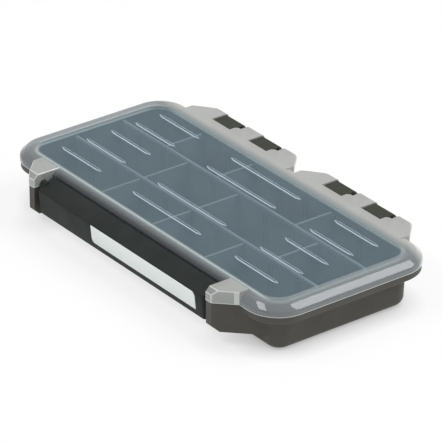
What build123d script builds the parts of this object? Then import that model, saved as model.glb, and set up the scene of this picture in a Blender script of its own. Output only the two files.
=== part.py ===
"""Tackle utility box: a shallow compartment case with a clear hinged lid and a bar latch.

Frame: millimetres, +Z up, origin on the table under the centre of the box.
X runs along the length, the latch is on the front (-Y) and the hinge at the back (+Y).
"""

from build123d import *
import os
from math import atan, degrees, sqrt

# Overall sizes
LENGTH = 231.8            # lid skirt, left to right
DEPTH = 106.4             # lid skirt, front to back
OVERHANG = 10.1           # ears and hinge tabs, out past the skirt at the front and the back
HEIGHT = 31.4             # table to the crest round the lid
LID_HEIGHT = 7.4          # lower edge of the lid to the crest
CORNER = 18.8             # plan radius of the lid's outer corners

# Lid
LID_WALL = 1.8            # wall of skirt, shoulder and ears
PANEL_SINK = 0.4          # crest to the top of the panel inside it
PANEL_WALL = 1.7
SKIRT_HEIGHT = 2.8        # upright skirt, below the sloping shoulder
SKIRT_DIP = 1.0           # how far the hollow starts to lean in below the skirt's top
SHOULDER_RUN = 6.8        # how far the shoulder leans in, skirt to crest
SHOULDER_ROUND = 5.0      # rounding between skirt and shoulder
CREST_WIDTH = 2.0         # flat top of the crest
RECESS_SLOPE = 1.2        # run of the slope from the crest down to the panel
LID_GAP = 0.2             # lid's lower edge over the base flange when closed

# Raised strokes on the lid panel
STROKE_PITCH = 16.0
STROKE_ROWS = 5
STROKE_WIDTH = 2.0
STROKE_HEIGHT = 0.4
STROKE_TAPER = 30.0       # lean of a stroke's flanks, in degrees
STROKE_POINT = 5.0        # length of each pointed end
SIDE_STROKE = 35.4        # length of a stroke in the left and right groups
SIDE_STROKE_IN = 40.0     # end of the lid to the middle of those strokes
MIDDLE_STROKE = 59.4      # length of a stroke in the middle group

# Ears at the front of the lid, with the posts of the base under them
EAR_IN = 41.0             # end of the lid to the inner side of an ear
EAR_FACET = 4.9           # width of the narrow facet at the front
EAR_DROP = 0.2            # crest to the top of an ear
EAR_CHAMFER = 2.6         # bevel along the top front edge
BAY_SETBACK = 1.8         # skirt to the lid wall that is set back behind the latch
POST_INSET = 0.3          # post outline inside the ear outline
POST_HEIGHT = 16.0
POST_CHAMFER = 3.0
POST_WALL = 2.2

# Base tray
WALL = 2.0
FLOOR = 2.2
END_INSET = 8.4           # lid skirt to body wall at both ends
LONG_INSET = 9.4          # lid skirt to body wall at the front and the back
DRAFT_RUN = 1.0           # how far the body wall leans in towards the bottom
BODY_CORNER = 8.0
BOTTOM_ROUND = 5.0
CAVITY_CORNER = 5.0
CAVITY_BEVEL = 2.0        # along the foot of the walls inside, and on what stands there
FLANGE_INSET = 0.5        # flange outline inside the lid outline
FLANGE_WALL = 2.0
LIP_DROP = 4.0            # height of the turned-down lip
LIP_BEVEL = 0.7
UPSTAND_WALL = 3.9        # wall that carries the seal, above the flange
UPSTAND_GAP = 1.1         # top of that wall to the underside of the panel

# Catch shelf across the front of the base
SHELF_IN = 5.0            # front of the ears to the front edge of the shelf
SHELF_DROP = 6.6          # top of the flange to the underside of the shelf
SHELF_WALL = 1.9
SHELF_SHORT = 6.6         # end of the latch to the end of the shelf
BAY_GAP = 0.1             # lid wall behind the latch to the drop wall of the base under it

# Seal
SEAL_DIAMETER = 2.0
SEAL_FLATS = 10           # flats round the cord
SEAL_CLEARANCE = 0.1      # seal to the sides of its groove
SEAL_HEADROOM = 0.25      # top of the seal to the underside of the lid

# Hinge
PIN_RADIUS = 1.0
PIN_RUNNING = 0.06        # pin to the bore in the lid
PIN_SEAT = 0.02           # pin to the bore in the base knuckle
PIN_IN_BASE = 5.0
PIN_IN_LID = 4.5
PIN_SHOWN = 3.5           # length of a pin that shows beside its knuckle
TAB_COVER = 0.9           # wall of the lid's tabs round the pin
TAB_DROP = 0.4            # panel to the top of the tabs
TAB_AT = 48.0             # box centre to the middle of a tab
TAB_APART = 3.0           # box centre to the nearest corner of a tab
TAB_SLANT = 15.0          # how much shorter a tab's back edge is at each end
TAB_CORNER = 5.0
TAB_WALL = 1.8
WINDOW_SPREAD = 16.0      # tab middle to the middle of each of its two windows
WINDOW_HALF = 9.6         # half width of a window
WINDOW_SETBACK = 1.2      # skirt to the front edge of the windows
KNUCKLE_GAP = 0.3         # knuckle to the sides of its window
KNUCKLE_COVER = 0.3       # wall of a knuckle round the pin at its back
KNUCKLE_DROP = 1.1        # panel to the top of a knuckle
KNUCKLE_BEVEL = 0.8
KNUCKLE_BACK = 8.0        # back of the tabs to the foot of a knuckle's sloping back

# Latch
LATCH_SHORT = 2.3         # ear to the end of the latch
LATCH_TOP_IN = 0.3        # front of the ears to the front of the latch at its top edge
LATCH_LOW_IN = 1.6        # front of the ears to the front of the latch at its lower edge
LATCH_BACK_IN = 10.4      # front of the ears to the back edge of the latch's top plate
LATCH_DROP = 2.8          # crest to the back edge of the latch's top plate
LATCH_HEIGHT = 13.5       # front plate
LATCH_WALL = 2.0
LATCH_ROUND = 3.0         # rounding where the front turns into the top
LATCH_END_ROUND = 2.0     # upright corners at both ends
LATCH_END_DEPTH = 2.6     # depth of the end walls
PIVOT_IN = 5.9            # front of the ears to the axis of the latch
PIVOT_RISE = 1.4          # lower edge of the lid to the axis of the latch
PIVOT_RADIUS = 1.2
PIVOT_RUNNING = 0.06      # trunnion to the bore in the ear
PIVOT_COVER = 0.8         # boss round the trunnion
PIVOT_GAP = 0.3           # boss face to ear
HOOK_IN = 6.2             # front of the ears to the tip of the hook
HOOK_GAP = 0.2            # hook under the catch shelf
HOOK_SHORT = 12.6         # end of the latch to the end of the hook
HOOK_NOSE = 0.8           # thickness at the tip
HOOK_DEPTH = 3.4          # thickness at the root

# Label on the latch
LABEL_LENGTH = 89.6
LABEL_END = 7.0           # label to the right-hand end of the latch
LABEL_LOW = 3.4           # latch's lower edge to the label
LABEL_HEIGHT = 9.8
LABEL_ROUND = 2.6
LABEL_THICK = 0.3

# Lanes and dividers
OUTER_LANE = 25.6         # clear width of the front and back lanes
LANE_WALL = 1.6
LANE_GAP = 0.7            # lane walls to the underside of the lid
SLOT_PITCH = 22.4
SLOT_COUNT = 9
DIVIDER_WALL = 1.2
DIVIDER_DROP = 1.0        # top of the lane walls to the top of the dividers
SLOT_GAP = 0.2            # divider to the ribs on either side
RIB_WIDTH = 1.0
RIB_DEPTH = 0.8
RIB_DROP = 1.6            # top of the dividers to the top of the ribs
RIB_FOOT = 2.2            # foot of the tray's ribs above the floor, clear of its bevel
SEAT_GAP = 0.1            # dividers and lane walls over the floor
END_GAP = 0.3             # ends of dividers and lane walls to the walls
DIVIDERS = {
    "back": (-3, -1, 2),
    "middle": (-2, 0, 3),
    "front": (-2, 0, 2),
}

# A cutter runs this far past what it cuts, and a piece that is fused on runs this far in
OVERCUT = 1.0

# Sizes that follow from the ones above
LID_X, LID_Y = LENGTH / 2, DEPTH / 2
REACH = LID_Y + OVERHANG
PART_LINE = HEIGHT - LID_HEIGHT
SKIRT_TOP = PART_LINE + SKIRT_HEIGHT
SHOULDER_LEAN = degrees(atan(SHOULDER_RUN / (HEIGHT - SKIRT_TOP)))
CREST_X, CREST_Y = LID_X - SHOULDER_RUN, LID_Y - SHOULDER_RUN
CREST_CORNER = CORNER - SHOULDER_RUN
PANEL_TOP = HEIGHT - PANEL_SINK
LID_CEILING = PANEL_TOP - PANEL_WALL
EAR_INNER, EAR_TOP = LID_X - EAR_IN, HEIGHT - EAR_DROP
BAY_FRONT = LID_Y - BAY_SETBACK
SIDE_STROKE_AT = LID_X - SIDE_STROKE_IN
FLANGE_TOP = PART_LINE - LID_GAP
FLANGE_UNDER = FLANGE_TOP - FLANGE_WALL
LIP_BOTTOM = FLANGE_TOP - LIP_DROP
POST_BOTTOM = FLANGE_TOP - POST_HEIGHT
BODY_X, BODY_Y = LID_X - END_INSET, LID_Y - LONG_INSET
CAVITY_X, CAVITY_Y = BODY_X - WALL, BODY_Y - WALL
FLOOR_X, FLOOR_Y = CAVITY_X - DRAFT_RUN, CAVITY_Y - DRAFT_RUN
UPSTAND_TOP = LID_CEILING - UPSTAND_GAP
UPSTAND_X, UPSTAND_Y = CAVITY_X + UPSTAND_WALL, CAVITY_Y + UPSTAND_WALL
UPSTAND_CORNER = CAVITY_CORNER + DRAFT_RUN + UPSTAND_WALL
SEAL_X, SEAL_Y = UPSTAND_X - UPSTAND_WALL / 2, UPSTAND_Y - UPSTAND_WALL / 2
SEAL_CORNER = UPSTAND_CORNER - UPSTAND_WALL / 2
SEAL_Z = LID_CEILING - SEAL_HEADROOM - SEAL_DIAMETER / 2
HINGE_RADIUS, KNUCKLE_RADIUS = PIN_RADIUS + TAB_COVER, PIN_RADIUS + KNUCKLE_COVER
AXIS_Y, AXIS_Z = REACH - HINGE_RADIUS, PANEL_TOP - TAB_DROP - HINGE_RADIUS
TAB_ROOT = TAB_AT - TAB_APART
TAB_END = TAB_ROOT - TAB_SLANT
WINDOWS = [side * TAB_AT + step * WINDOW_SPREAD for side in (-1, 1) for step in (-1, 1)]
WINDOW_FRONT = LID_Y - WINDOW_SETBACK
KNUCKLE_LENGTH = 2 * WINDOW_HALF - KNUCKLE_GAP - PIN_SHOWN
KNUCKLE_TOP = PANEL_TOP - KNUCKLE_DROP
LATCH_HALF = EAR_INNER - LATCH_SHORT
LATCH_TOP_FRONT = (LATCH_TOP_IN - REACH, PART_LINE)
LATCH_LOW_FRONT = (LATCH_LOW_IN - REACH, PART_LINE - LATCH_HEIGHT)
LATCH_TOP_BACK = (LATCH_BACK_IN - REACH, HEIGHT - LATCH_DROP)
PIVOT = (PIVOT_IN - REACH, PART_LINE + PIVOT_RISE)
SHELF_REACH = REACH - SHELF_IN
SHELF_BOTTOM = FLANGE_TOP - SHELF_DROP
SHELF_HALF = LATCH_HALF - SHELF_SHORT
HOOK_TIP, HOOK_TOP = HOOK_IN - REACH, SHELF_BOTTOM - HOOK_GAP
HOOK_HALF = LATCH_HALF - HOOK_SHORT
LABEL_TO = LATCH_HALF - LABEL_END
LABEL_FROM = LABEL_TO - LABEL_LENGTH
SLOTS = [(i - SLOT_COUNT // 2) * SLOT_PITCH for i in range(SLOT_COUNT)]
LANE_AT = CAVITY_Y - OUTER_LANE - LANE_WALL / 2
LANE_TOP = LID_CEILING - LANE_GAP
DIVIDER_TOP = LANE_TOP - DIVIDER_DROP
RIB_TOP = DIVIDER_TOP - RIB_DROP


def plan(half_x, half_y, radius, z):
    """Rounded rectangle about the box centre at height z."""
    return Pos(0, 0, z) * RectangleRounded(2 * half_x, 2 * half_y, radius)


def block(x0, x1, y0, y1, z0, z1):
    """Box between two corners."""
    middle = Pos((x0 + x1) / 2, (y0 + y1) / 2, (z0 + z1) / 2)
    return middle * Box(x1 - x0, y1 - y0, z1 - z0)


def drafted(outline, height, lean):
    """Extrude a plan outline upwards, its walls leaning inwards by an angle in degrees."""
    return extrude(outline, amount=height, taper=lean)


def along_x(profile, x0, x1):
    """Extrude a profile drawn in (y, z) from x0 to x1."""
    return extrude(Plane.YZ.offset(x0) * profile, amount=x1 - x0, dir=(1, 0, 0))


def upright(outline, height):
    """Extrude a plan outline upwards."""
    return extrude(outline, amount=height, dir=(0, 0, 1))


def rod_x(radius, y, z, x0, x1):
    """Round rod along X."""
    return along_x(Pos(y, z) * Circle(radius), x0, x1)


def both_sides(solid):
    """A solid and its mirror image on the other side of the box."""
    return solid + mirror(solid, about=Plane.YZ)


def post_plan(inset, back, z):
    """Plan of the right-hand post, shrunk by inset, its slanted side running on to y = back."""
    inner, front = EAR_INNER + inset, -(REACH - inset)
    diagonal = EAR_INNER + EAR_FACET + REACH - inset * sqrt(2)
    points = [(inner, back), (inner, front), (diagonal + front, front), (diagonal + back, back)]
    return Pos(0, 0, z) * Polygon(*points, align=None)


def ear_plan(inset, back, z):
    """Plan of the right-hand ear: as the post, but square to the lid from the skirt inwards."""
    inner, front = EAR_INNER + inset, -(REACH - inset)
    diagonal = EAR_INNER + EAR_FACET + REACH - inset * sqrt(2)
    root = -LID_Y - inset
    points = [(inner, back), (inner, front), (diagonal + front, front), (diagonal + root, root),
              (diagonal + root, back)]
    return Pos(0, 0, z) * Polygon(*points, align=None)


def tab_plan(inset, z):
    """Plan of the right-hand hinge tab, shrunk by inset."""
    slope = (TAB_ROOT - TAB_END) / (REACH - LID_Y)
    side = inset * sqrt(1 + slope**2)
    back = REACH - inset
    wide = TAB_ROOT - side
    narrow = TAB_END + slope * inset - side
    points = [(-wide, CREST_Y), (-wide, LID_Y), (-narrow, back),
              (narrow, back), (wide, LID_Y), (wide, CREST_Y)]
    outline = Pos(TAB_AT, 0, z) * Polygon(*points, align=None)
    corners = outline.vertices().group_by(Axis.Y)[-1]
    return fillet(corners, TAB_CORNER)


def lid_outside():
    """Skirt, shoulder and crest of the lid as one block."""
    skirt = upright(plan(LID_X, LID_Y, CORNER, PART_LINE), SKIRT_TOP - PART_LINE)
    shoulder = drafted(plan(LID_X, LID_Y, CORNER, SKIRT_TOP), HEIGHT - SKIRT_TOP, SHOULDER_LEAN)
    outside = skirt + shoulder
    edges = outside.edges().filter_by(lambda e: abs(e.center().Z - SKIRT_TOP) < 0.01)
    outside = fillet(edges, min(SHOULDER_ROUND, SHOULDER_RUN))
    recess_x, recess_y = CREST_X - CREST_WIDTH, CREST_Y - CREST_WIDTH
    recess_corner = CREST_CORNER - CREST_WIDTH
    recess = drafted(plan(recess_x - RECESS_SLOPE, recess_y - RECESS_SLOPE,
                          recess_corner - RECESS_SLOPE, PANEL_TOP),
                     PANEL_SINK, -degrees(atan(RECESS_SLOPE / PANEL_SINK)))
    return outside - recess


def lid_inside():
    """Hollow under the lid, jogged in behind the latch and the hinge windows."""
    x, y, corner = LID_X - LID_WALL, LID_Y - LID_WALL, CORNER - LID_WALL
    turn = SKIRT_TOP - SKIRT_DIP
    low = upright(plan(x, y, corner, PART_LINE - OVERCUT), turn - PART_LINE + OVERCUT)
    inside = low + drafted(plan(x, y, corner, turn), LID_CEILING - turn, SHOULDER_LEAN)
    bay_side = EAR_INNER + LID_WALL
    inside -= block(-bay_side, bay_side, -REACH, -(BAY_FRONT - LID_WALL), 0, HEIGHT)
    for x_window in WINDOWS:
        half = WINDOW_HALF + LID_WALL
        inside -= block(x_window - half, x_window + half, WINDOW_FRONT - LID_WALL, REACH, 0, HEIGHT)
    return inside


def lid_ear():
    """Right-hand ear as a hollow faceted cap."""
    ear = upright(ear_plan(0, -CREST_Y, PART_LINE), EAR_TOP - PART_LINE)
    front_top = ear.edges().filter_by(Axis.X).sort_by(lambda e: e.center().Z - e.center().Y)[-1]
    ear = chamfer(front_top, EAR_CHAMFER)
    hollow_bottom = PART_LINE - OVERCUT
    hollow = upright(ear_plan(LID_WALL, -LID_Y, hollow_bottom), EAR_TOP - LID_WALL - hollow_bottom)
    return ear, hollow


def lid_tab():
    """Right-hand hinge tab with a round back edge and a pocket under its plate."""
    top, bottom = AXIS_Z + HINGE_RADIUS, AXIS_Z - HINGE_RADIUS
    slab = upright(tab_plan(0, bottom), top - bottom)
    side_view = Polygon((CREST_Y, bottom), (AXIS_Y, bottom), (AXIS_Y, top), (CREST_Y, top), align=None)
    side_view += Pos(AXIS_Y, AXIS_Z) * Circle(HINGE_RADIUS)
    slab &= along_x(side_view, TAB_AT - TAB_ROOT - OVERCUT, TAB_AT + TAB_ROOT + OVERCUT)
    pocket_bottom = bottom - OVERCUT
    pocket = upright(tab_plan(TAB_WALL, pocket_bottom), top - TAB_WALL - pocket_bottom)
    pocket &= block(0, LENGTH, LID_Y, AXIS_Y - HINGE_RADIUS, 0, HEIGHT)
    for x_window in WINDOWS:
        left = x_window - WINDOW_HALF - TAB_WALL
        right = x_window + WINDOW_HALF + PIN_IN_LID + TAB_WALL
        pocket -= block(left, right, 0, REACH + OVERCUT, 0, HEIGHT)
    return slab, pocket


def lid_strokes():
    """Raised strokes on the panel, bare in the middle of the panel."""
    def stroke(x, y, length):
        half, shoulder, width = length / 2, length / 2 - STROKE_POINT, STROKE_WIDTH / 2
        points = [(-half, 0), (-shoulder, -width), (shoulder, -width),
                  (half, 0), (shoulder, width), (-shoulder, width)]
        outline = Pos(x, y, PANEL_TOP) * Polygon(*points, align=None)
        return drafted(outline, STROKE_HEIGHT, STROKE_TAPER)

    strokes = []
    for row in range(STROKE_ROWS):
        y = (row - STROKE_ROWS // 2) * STROKE_PITCH
        strokes.append(stroke(-SIDE_STROKE_AT, y, SIDE_STROKE))
        strokes.append(stroke(SIDE_STROKE_AT, y, SIDE_STROKE))
        if row != STROKE_ROWS // 2:
            strokes.append(stroke(0, y, MIDDLE_STROKE))
    return strokes


def make_lid():
    """Clear lid: panel, crest, shoulder and skirt, with two ears and two hinge tabs."""
    ear, ear_hollow = lid_ear()
    tab, tab_pocket = lid_tab()
    lid = lid_outside() + both_sides(ear) + tab + mirror(tab, about=Plane.YZ)
    lid -= block(-EAR_INNER, EAR_INNER, -REACH - OVERCUT, -BAY_FRONT, 0, HEIGHT + OVERCUT)
    lid -= lid_inside()
    lid -= both_sides(ear_hollow)
    lid -= tab_pocket
    lid -= mirror(tab_pocket, about=Plane.YZ)
    for x in WINDOWS:
        side = x + WINDOW_HALF
        lid -= block(x - WINDOW_HALF, side, WINDOW_FRONT, REACH + OVERCUT, 0, HEIGHT + OVERCUT)
        lid -= rod_x(PIN_RADIUS + PIN_RUNNING, AXIS_Y, AXIS_Z,
                     side - OVERCUT, side + PIN_IN_LID + KNUCKLE_GAP)
    bore = rod_x(PIVOT_RADIUS + PIVOT_RUNNING, *PIVOT,
                 EAR_INNER - OVERCUT, EAR_INNER + LID_WALL + OVERCUT)
    lid -= both_sides(bore)
    return lid + lid_strokes()


def base_post():
    """Right-hand post under the ear, cored out from below."""
    body_y = -(BODY_Y - WALL / 2)
    post = upright(post_plan(POST_INSET, body_y, POST_BOTTOM), FLANGE_TOP - POST_BOTTOM)
    front_low = post.edges().filter_by(Axis.X).sort_by(lambda e: e.center().Z + e.center().Y)[0]
    post = chamfer(front_low, POST_CHAMFER)
    core_bottom = POST_BOTTOM - OVERCUT
    core = upright(post_plan(POST_INSET + POST_WALL, -BODY_Y, core_bottom), FLANGE_UNDER - core_bottom)
    return post, core


def base_knuckle(x_window):
    """Hinge knuckle that rises from the flange into one window of the lid."""
    front = WINDOW_FRONT + KNUCKLE_GAP
    side_view = Polygon(
        (BODY_Y + WALL, FLANGE_UNDER), (BODY_Y + WALL, FLANGE_TOP), (front, FLANGE_TOP),
        (front, KNUCKLE_TOP - KNUCKLE_BEVEL), (front + KNUCKLE_BEVEL, KNUCKLE_TOP),
        (AXIS_Y, AXIS_Z + KNUCKLE_RADIUS), (AXIS_Y + KNUCKLE_RADIUS, AXIS_Z),
        (REACH - KNUCKLE_BACK, LIP_BOTTOM), (front, LIP_BOTTOM), align=None)
    side_view += Pos(AXIS_Y, AXIS_Z) * Circle(KNUCKLE_RADIUS)
    left = x_window - WINDOW_HALF + KNUCKLE_GAP
    return along_x(side_view, left, left + KNUCKLE_LENGTH)


def base_slot_ribs():
    """Ribs on the long walls for the dividers, and on the end walls for the lane walls."""
    def rib(x0, x1, y0, y1):
        return block(x0, x1, y0, y1, FLOOR + RIB_FOOT, RIB_TOP)

    ribs = []
    half = RIB_WIDTH / 2
    offset = DIVIDER_WALL / 2 + SLOT_GAP + half
    near, far = FLOOR_Y - RIB_DEPTH, CAVITY_Y + WALL / 2
    for x in [slot + side * offset for slot in SLOTS for side in (-1, 1)]:
        ribs += [rib(x - half, x + half, -far, -near), rib(x - half, x + half, near, far)]
    offset = LANE_WALL / 2 + SLOT_GAP + half
    near, far = FLOOR_X - RIB_DEPTH, CAVITY_X + WALL / 2
    for y in [lane + side * offset for lane in (-LANE_AT, LANE_AT) for side in (-1, 1)]:
        ribs += [rib(-far, -near, y - half, y + half), rib(near, far, y - half, y + half)]
    return ribs


def base_rim():
    """Flange with its turned-down lip, set back behind the latch, and the hollow under it."""
    x, y, corner = LID_X - FLANGE_INSET, LID_Y - FLANGE_INSET, CORNER - FLANGE_INSET
    rim = upright(plan(x, y, corner, LIP_BOTTOM), LIP_DROP)
    rim = chamfer(rim.edges().group_by(Axis.Z)[0], LIP_BEVEL)
    under_bottom = LIP_BOTTOM - OVERCUT
    under = upright(plan(x - FLANGE_WALL, y - FLANGE_WALL, corner - FLANGE_WALL, under_bottom),
                    FLANGE_UNDER - under_bottom)
    bay_y, bay_x = BAY_FRONT + BAY_GAP, EAR_INNER + WALL
    rim -= block(-EAR_INNER, EAR_INNER, -REACH, -bay_y, 0, HEIGHT)
    under -= block(-bay_x, bay_x, -REACH, FLANGE_WALL - bay_y, 0, HEIGHT)
    return rim, under


def base_cavity():
    """Inside of the tray, narrower by the slot ribs on its walls."""
    lean = -degrees(atan(DRAFT_RUN / (UPSTAND_TOP - FLOOR)))
    cavity = drafted(plan(FLOOR_X, FLOOR_Y, CAVITY_CORNER, FLOOR), UPSTAND_TOP - FLOOR + OVERCUT, lean)
    cavity = chamfer(cavity.faces().sort_by(Axis.Z)[0].edges(), CAVITY_BEVEL)
    return cavity - base_slot_ribs()


def base_groove():
    """Groove for the seal in the top of the tray wall."""
    half = SEAL_DIAMETER / 2 + SEAL_CLEARANCE
    bottom = SEAL_Z - half
    outer = plan(SEAL_X + half, SEAL_Y + half, SEAL_CORNER + half, bottom)
    return upright(outer - plan(SEAL_X - half, SEAL_Y - half, SEAL_CORNER - half, bottom), HEIGHT)


def make_base_tray():
    """Dark tray: body, flange with a turned-down lip, posts, knuckles and catch shelf."""
    lean = -degrees(atan(DRAFT_RUN / FLANGE_UNDER))
    body = drafted(plan(BODY_X - DRAFT_RUN, BODY_Y - DRAFT_RUN, BODY_CORNER, 0), FLANGE_UNDER, lean)
    body = fillet(body.faces().sort_by(Axis.Z)[0].edges(), BOTTOM_ROUND)
    upstand = upright(plan(UPSTAND_X, UPSTAND_Y, UPSTAND_CORNER, FLANGE_UNDER), UPSTAND_TOP - FLANGE_UNDER)
    rim, under = base_rim()
    bay_y = BAY_FRONT + BAY_GAP
    drop_wall = block(-SHELF_HALF, SHELF_HALF, -bay_y, FLANGE_WALL - bay_y, SHELF_BOTTOM, FLANGE_UNDER)
    shelf = block(-SHELF_HALF, SHELF_HALF, -SHELF_REACH, FLANGE_WALL - bay_y,
                  SHELF_BOTTOM, SHELF_BOTTOM + SHELF_WALL)
    post, core = base_post()

    tray = body + [rim - under, upstand, both_sides(post), drop_wall, shelf]
    tray -= both_sides(core)
    tray += [base_knuckle(x) for x in WINDOWS]
    tray -= base_cavity()
    tray -= base_groove()
    for x in WINDOWS:
        end = x - WINDOW_HALF + KNUCKLE_GAP + KNUCKLE_LENGTH
        tray -= rod_x(PIN_RADIUS + PIN_SEAT, AXIS_Y, AXIS_Z, end - PIN_IN_BASE - PIN_SEAT, end + OVERCUT)
    return tray


def make_hinge_pin(x_window):
    """Stub pin from a base knuckle into the lid."""
    end = x_window - WINDOW_HALF + KNUCKLE_GAP + KNUCKLE_LENGTH
    return rod_x(PIN_RADIUS, AXIS_Y, AXIS_Z, end - PIN_IN_BASE, x_window + WINDOW_HALF + PIN_IN_LID)


def make_seal():
    """Cord seal in its groove along the top of the tray wall."""
    path = plan(SEAL_X, SEAL_Y, SEAL_CORNER, SEAL_Z).wire()
    section = Plane(path @ 0, z_dir=path % 0) * RegularPolygon(SEAL_DIAMETER / 2, SEAL_FLATS)
    return sweep(section, path=path)


def latch_plate(inset):
    """Points down the front of the latch and back over its top, moved in by inset."""
    (y_top, z_top), (y_low, z_low) = LATCH_TOP_FRONT, LATCH_LOW_FRONT
    y_back, z_back = LATCH_TOP_BACK
    rise = (z_back - z_top) / (y_back - y_top)
    drop = inset * sqrt(1 + rise**2)
    corner = (y_top + inset, z_top + rise * inset - drop)
    return (y_low + inset, z_low), corner, (y_back, z_back - drop)


def make_latch():
    """Bar latch: front plate and top plate, closed ends with trunnions, and a hook inside."""
    low, top, back = latch_plate(0)
    inner_low, inner_top, inner_back = latch_plate(LATCH_WALL)
    end_y = low[0] + LATCH_END_DEPTH
    side_view = Polygon(low, top, back, inner_back,
                        (PIVOT[0] + LATCH_END_DEPTH, PIVOT[1] - LATCH_END_DEPTH),
                        (end_y, PIVOT[1] - 3 * LATCH_END_DEPTH), (end_y, low[1]), align=None)
    side_view = fillet(side_view.vertices().sort_by(Axis.X)[0], LATCH_ROUND)
    latch = along_x(side_view, -LATCH_HALF, LATCH_HALF)
    above = Polygon((-LATCH_HALF, top[0]), (LATCH_HALF, top[0]), (LATCH_HALF, 0), (-LATCH_HALF, 0),
                    align=None)
    above = fillet(above.vertices().group_by(Axis.Y)[0], LATCH_END_ROUND)
    latch &= upright(above, HEIGHT)
    hollow = Polygon((inner_low[0], 0), inner_low, inner_top, inner_back,
                     (0, inner_back[1]), (0, 0), align=None)
    hollow_half = LATCH_HALF - LATCH_WALL
    latch -= along_x(hollow, -hollow_half, hollow_half)
    root = low[0] + LATCH_WALL / 2
    hook = Polygon((root, HOOK_TOP), (HOOK_TIP, HOOK_TOP), (HOOK_TIP, HOOK_TOP - HOOK_NOSE),
                   (root, HOOK_TOP - HOOK_DEPTH), align=None)
    latch += along_x(hook, -HOOK_HALF, HOOK_HALF)
    boss = rod_x(PIVOT_RADIUS + PIVOT_COVER, *PIVOT, hollow_half, EAR_INNER - PIVOT_GAP)
    trunnion = rod_x(PIVOT_RADIUS, *PIVOT, hollow_half, EAR_INNER + LID_WALL - PIVOT_GAP)
    return latch + [both_sides(boss), both_sides(trunnion)]


def make_label():
    """Blank label plate on the front of the latch."""
    (y_low, z_low), (y_top, z_top) = LATCH_LOW_FRONT, LATCH_TOP_FRONT
    face = Plane(origin=(0, y_low, z_low), x_dir=(1, 0, 0), z_dir=(0, z_low - z_top, y_top - y_low))
    high = LABEL_LOW + LABEL_HEIGHT
    outline = Polygon((LABEL_FROM, LABEL_LOW), (LABEL_TO, LABEL_LOW), (LABEL_TO, high),
                      (LABEL_FROM, high), align=None)
    corners = outline.vertices().sort_by(lambda v: v.X + v.Y)
    outline = fillet([corners[0], corners[-1]], LABEL_ROUND)
    return extrude(face * outline, amount=LABEL_THICK)


def make_lane_wall(y):
    """Long wall between two lanes, with slot ribs on both faces."""
    half = FLOOR_X - END_GAP
    bottom = FLOOR + SEAT_GAP
    wall = block(-half, half, y - LANE_WALL / 2, y + LANE_WALL / 2, bottom, LANE_TOP)
    low_corners = wall.edges().filter_by(Axis.Y).group_by(Axis.Z)[0]
    wall = chamfer(low_corners, CAVITY_BEVEL)
    offset = DIVIDER_WALL / 2 + SLOT_GAP + RIB_WIDTH / 2
    depth = LANE_WALL / 2 + RIB_DEPTH
    middles = [x + side * offset for x in SLOTS for side in (-1, 1)]
    return wall + [block(middle - RIB_WIDTH / 2, middle + RIB_WIDTH / 2, y - depth, y + depth,
                         bottom, RIB_TOP) for middle in middles]


def make_divider(lane, slot):
    """Cross divider that slides down between the ribs of one lane."""
    outer = FLOOR_Y - END_GAP
    inner = LANE_AT + LANE_WALL / 2 + END_GAP
    middle = LANE_AT - LANE_WALL / 2 - END_GAP
    y0, y1 = {"back": (inner, outer), "middle": (-middle, middle), "front": (-outer, -inner)}[lane]
    x = slot * SLOT_PITCH
    bottom = FLOOR + SEAT_GAP
    plate = block(x - DIVIDER_WALL / 2, x + DIVIDER_WALL / 2, y0, y1, bottom, DIVIDER_TOP)
    return chamfer(plate.edges().filter_by(Axis.X).group_by(Axis.Z)[0], CAVITY_BEVEL)


def main():
    """Build every piece and write it to its own file."""
    pieces = {
        "base_tray": make_base_tray(),
        "lid": make_lid(),
        "lid_seal": make_seal(),
        "latch": make_latch(),
        "latch_label": make_label(),
        "lane_wall_front": make_lane_wall(-LANE_AT),
        "lane_wall_back": make_lane_wall(LANE_AT),
    }
    for number, x in enumerate(WINDOWS, start=1):
        pieces[f"hinge_pin_{number}"] = make_hinge_pin(x)
    for lane, slots in DIVIDERS.items():
        for number, slot in enumerate(slots, start=1):
            pieces[f"divider_{lane}_{number}"] = make_divider(lane, slot)
    os.makedirs("parts", exist_ok=True)
    for name, piece in pieces.items():
        export_step(piece, f"parts/{name}.step")


main()
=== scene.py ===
"""Looks of the tackle utility box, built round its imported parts.

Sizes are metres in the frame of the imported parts: +Z up, the latch on the front (-Y) and the
hinge at the back (+Y). MM turns a drawing size in millimetres into metres.
"""

import logging
import math
from dataclasses import dataclass, field
from enum import Enum
from typing import Callable, Iterable

import bmesh
import bpy
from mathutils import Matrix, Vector


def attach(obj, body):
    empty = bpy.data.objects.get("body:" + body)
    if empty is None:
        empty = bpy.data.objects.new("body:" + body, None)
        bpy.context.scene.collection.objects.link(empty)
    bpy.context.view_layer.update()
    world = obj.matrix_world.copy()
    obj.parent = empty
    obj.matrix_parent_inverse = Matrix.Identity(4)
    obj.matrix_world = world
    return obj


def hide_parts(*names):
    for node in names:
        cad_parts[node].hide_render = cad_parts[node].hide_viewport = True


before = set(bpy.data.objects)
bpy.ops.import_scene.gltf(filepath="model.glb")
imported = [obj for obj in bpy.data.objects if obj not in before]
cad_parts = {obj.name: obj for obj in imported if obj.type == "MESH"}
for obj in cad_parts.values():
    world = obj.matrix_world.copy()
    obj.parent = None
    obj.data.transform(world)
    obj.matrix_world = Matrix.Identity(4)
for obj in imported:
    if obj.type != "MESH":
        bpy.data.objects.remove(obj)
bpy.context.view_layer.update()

MM = 0.001
SLACK = 0.02     # millimetres that a place may be off and still count
MARGIN = 0.1     # millimetres that tell two places apart
UPRIGHT = 1.0    # least rise in millimetres of an edge that stands up
FACING = 0.9     # least share of a normal along the way that a face looks
LEANING = 0.5    # the same for a face that leans that way

Socket = bpy.types.NodeSocket
Value = Socket | float
Colour = Socket | tuple
Material = bpy.types.Material

log = logging.getLogger("tackle_box")


class Body(str, Enum):
    """The bodies that the new pieces ride on."""

    LID = "lid"
    LATCH = "latch"


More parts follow.
